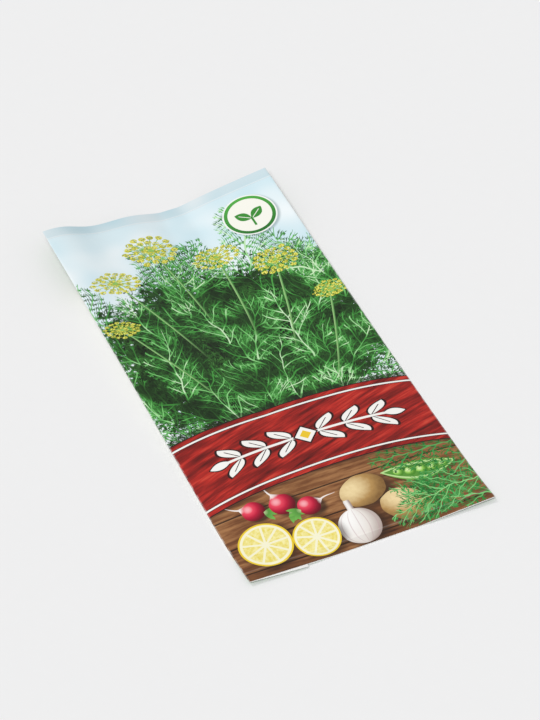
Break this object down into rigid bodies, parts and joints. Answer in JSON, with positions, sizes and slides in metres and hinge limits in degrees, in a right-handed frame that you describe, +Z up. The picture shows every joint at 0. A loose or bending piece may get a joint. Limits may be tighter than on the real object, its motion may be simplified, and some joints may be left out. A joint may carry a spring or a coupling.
{
  "type": "seed packet",
  "caption": "Flat printed paper seed packet with folded long edges, a lap seam down the back, sealed ends and loose dill seeds inside, lying slightly curled.",
  "frame": {"origin": "on the surface that the packet lies on, under the middle of its outline", "axes": "+Y along the packet towards its top end, +Z up out of the printed front"},
  "size_m": [0.08, 0.1608, 0.0076],
  "materials": {
    "laminated_paper": "printed, satin laminate",
    "dill_seed": "dry, ribbed"
  },
  "bodies": {
    "root": {"packet_sheet": "laminated_paper", "seeds": "dill_seed"}
  },
  "joints": []
}
